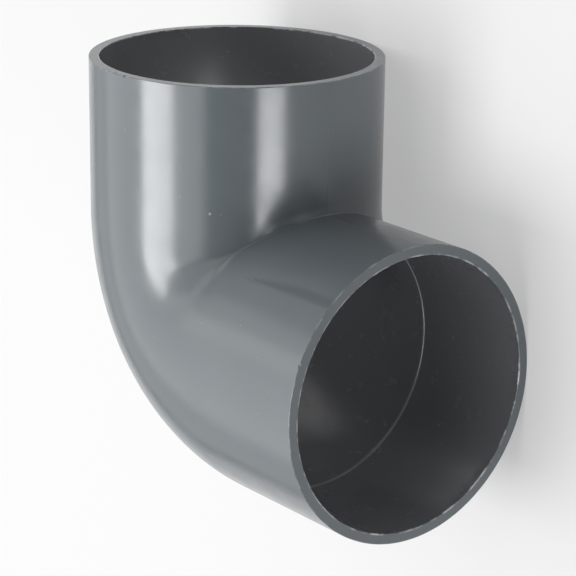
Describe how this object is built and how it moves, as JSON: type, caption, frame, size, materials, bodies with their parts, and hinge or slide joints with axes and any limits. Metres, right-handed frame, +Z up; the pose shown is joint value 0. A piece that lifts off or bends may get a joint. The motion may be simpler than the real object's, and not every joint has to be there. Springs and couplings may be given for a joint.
{
  "type": "pvc elbow",
  "caption": "Grey moulded quarter-turn pipe elbow with a plain cement socket at each end of two equal legs, a swept heel and a sharp mitred throat.",
  "frame": {"origin": "centre of the footprint's box, on the surface that the elbow lies on", "axes": "+Y along one socket axis and +X along the other, both pointing out of the mouths; +Z up, square to the plane of the two axes, which lies 59.55 mm above the origin"},
  "size_m": [0.1723, 0.1723, 0.1191],
  "materials": {
    "pvc": "as moulded, smooth semi-gloss blue-grey"
  },
  "bodies": {
    "root": {"elbow": "pvc"}
  },
  "joints": []
}
